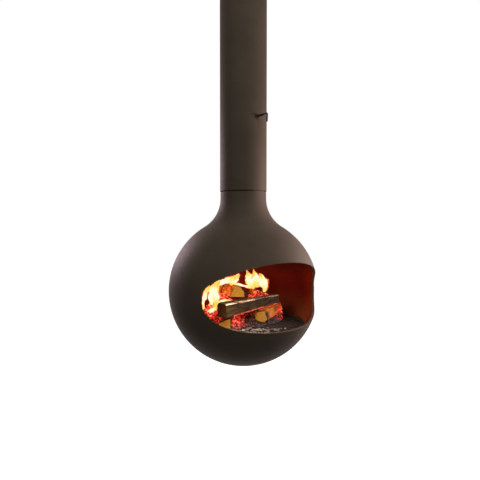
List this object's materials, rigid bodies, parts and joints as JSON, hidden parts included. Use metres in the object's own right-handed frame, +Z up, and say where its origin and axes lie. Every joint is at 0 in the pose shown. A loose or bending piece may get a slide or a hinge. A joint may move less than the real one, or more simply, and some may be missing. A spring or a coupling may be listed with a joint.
{
  "type": "hanging fireplace",
  "caption": "Ball-shaped steel hearth with a wide front opening, hung from a fixed flue pipe and turning on a pivot at its neck, with damper, grate, ash pan and burning logs.",
  "frame": {"origin": "on the flue's axis, in the plane of the ceiling that the part hangs from", "axes": "+Z up along the flue, the hearth's opening and the damper's handle face -Y at rest, +X to the right of someone who faces the opening"},
  "size_m": [0.7994, 0.7678, 2.16],
  "materials": {
    "shell_paint": "satin brown-black high-temperature paint",
    "black_steel": "matte heat-darkened paint",
    "bare_steel": "mill finish",
    "iron": "rough black",
    "bronze": "plain bearing bronze",
    "seal_rope": "graphited fibre rope",
    "dark_log": "charring split log",
    "split_log": "split log with bark",
    "embers": "glowing charcoal and ash"
  },
  "bodies": {
    "flue": {"ceiling_plate": "bare_steel", "flue_flange": "black_steel", "flange_bolt_1": "bare_steel", "flange_bolt_2": "bare_steel", "flange_bolt_3": "bare_steel", "flange_bolt_4": "bare_steel", "ceiling_cover": "shell_paint", "cover_screw_1": "shell_paint", "cover_screw_2": "shell_paint", "cover_screw_3": "shell_paint", "flue_pipe": "shell_paint", "damper_bush_front": "bronze", "damper_bush_rear": "bronze", "pivot_seat_ring": "black_steel", "thrust_washer": "bronze"},
    "damper": {"damper_shaft": "iron", "damper_handle": "iron", "damper_plate": "bare_steel", "damper_saddle_front": "bare_steel", "damper_saddle_rear": "bare_steel", "damper_rivet_1": "bare_steel", "damper_rivet_2": "bare_steel", "damper_rivet_3": "bare_steel", "damper_rivet_4": "bare_steel", "shaft_collar_front": "black_steel", "shaft_collar_rear": "black_steel"},
    "hearth": {"hanging_collar": "bare_steel", "collar_lock_ring": "bare_steel", "neck_spigot": "bare_steel", "neck_ring": "black_steel", "smoke_seal": "seal_rope", "spigot_screw_1": "bare_steel", "spigot_screw_2": "bare_steel", "spigot_screw_3": "bare_steel", "spigot_screw_4": "bare_steel", "hearth_foot": "shell_paint", "hearth_bowl": "shell_paint", "hearth_dome": "shell_paint", "hearth_neck": "shell_paint", "opening_rim": "shell_paint", "grate_support_ring": "black_steel", "pan_support_ring": "black_steel"},
    "grate": {"fire_grate": "iron", "log_front": "dark_log", "log_upper": "split_log", "log_lower_left": "split_log", "log_lower_right": "split_log", "ember_bed": "embers"},
    "ash_pan": {"ash_pan": "iron", "ash_pan_handle": "iron"}
  },
  "joints": [
    {"name": "hearth_swivel", "type": "hinge", "parent": "flue", "child": "hearth", "pos_m": [0, 0, -1.233], "axis": [0, 0, 1], "continuous": true},
    {"name": "damper_turn", "type": "hinge", "parent": "flue", "child": "damper", "pos_m": [0, 0, -0.852], "axis": [0, 1, 0], "range_deg": [0, 90]},
    {"name": "grate_lift", "type": "slide", "parent": "hearth", "child": "grate", "axis": [0, 0, 1], "range_m": [0, 0.06]},
    {"name": "pan_lift", "type": "slide", "parent": "hearth", "child": "ash_pan", "axis": [0, 0, 1], "range_m": [0, 0.045]}
  ]
}
